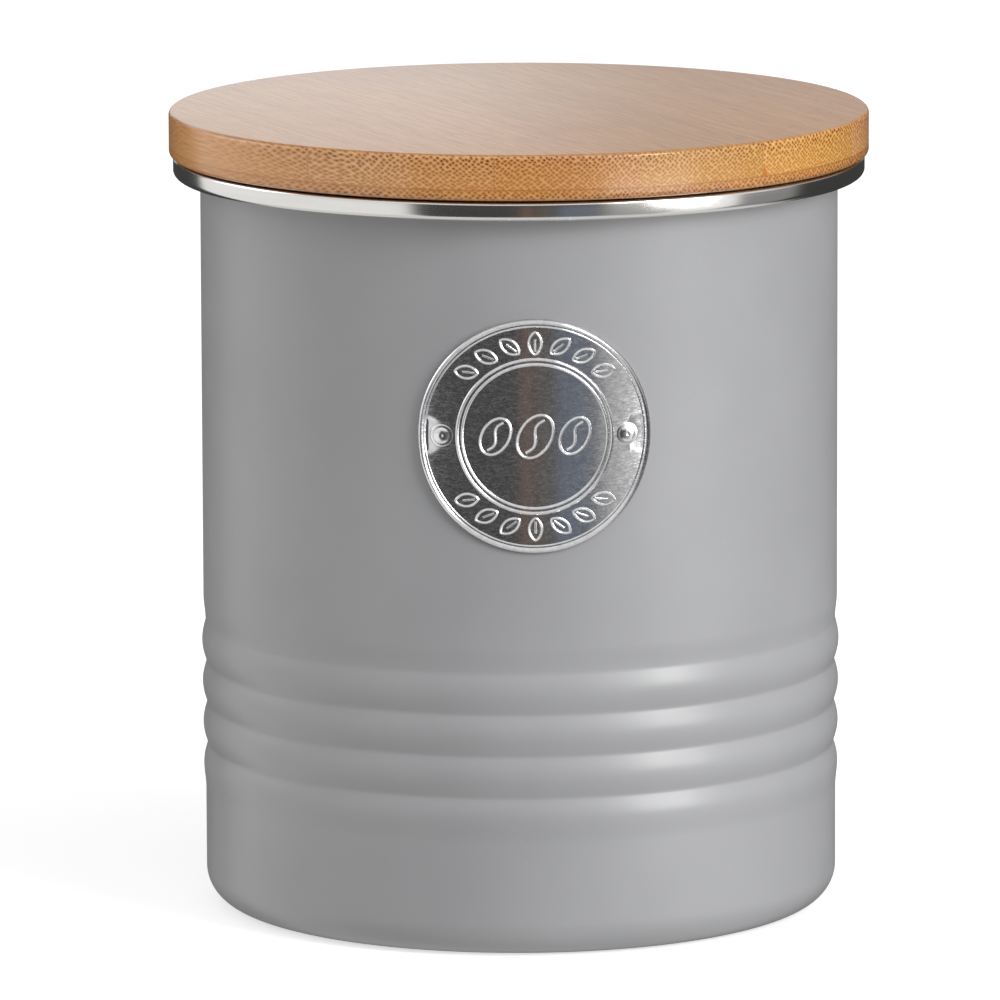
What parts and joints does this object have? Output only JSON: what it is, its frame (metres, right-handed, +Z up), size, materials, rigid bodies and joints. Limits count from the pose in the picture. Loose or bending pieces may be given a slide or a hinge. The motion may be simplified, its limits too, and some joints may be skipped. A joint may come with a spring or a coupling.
{
  "type": "storage tin",
  "caption": "Round painted steel kitchen storage tin with rolled beads, a bright steel rim, a riveted round badge and a laminated bamboo lid with a sealing plug.",
  "frame": {"origin": "centre of the base, on the surface that the tin stands on", "axes": "+Z up along the tin's axis; the badge faces -Y, turned 2.6 degrees towards +X"},
  "size_m": [0.12, 0.12, 0.1376],
  "materials": {
    "grey_paint": "satin grey enamel paint on steel",
    "rim_steel": "bright stainless steel, finely brushed around the ring",
    "badge_steel": "bright pressed steel, brushed from side to side",
    "rivet_metal": "polished",
    "strip_bamboo": "fine-grained bamboo with a thin satin lacquer",
    "backing_bamboo": "bamboo with a thin satin lacquer",
    "plug_bamboo": "bamboo, turned",
    "silicone": "translucent white silicone, matt",
    "seam_compound": "cured sealing compound"
  },
  "bodies": {
    "tin": {"body_shell": "grey_paint", "base_plate": "grey_paint", "base_seal": "seam_compound", "rim_ring": "rim_steel", "badge_plate": "badge_steel", "rivet_left": "rivet_metal", "rivet_right": "rivet_metal"},
    "seal": {"lid_seal": "silicone"},
    "lid": {"lid_strip_1": "strip_bamboo", "lid_strip_2": "strip_bamboo", "lid_strip_3": "strip_bamboo", "lid_strip_4": "strip_bamboo", "lid_strip_5": "strip_bamboo", "lid_strip_6": "strip_bamboo", "lid_backing_1": "backing_bamboo", "lid_backing_2": "backing_bamboo", "lid_backing_3": "backing_bamboo", "lid_backing_4": "backing_bamboo", "lid_backing_5": "backing_bamboo", "lid_plug": "plug_bamboo"}
  },
  "joints": [
    {"name": "lid_lift", "type": "slide", "parent": "tin", "child": "seal", "axis": [0, 0, 1], "range_m": [0, 0.06]},
    {"name": "lid_turn", "type": "hinge", "parent": "seal", "child": "lid", "pos_m": [0, 0, 0.1298], "axis": [0, 0, 1], "continuous": true}
  ]
}
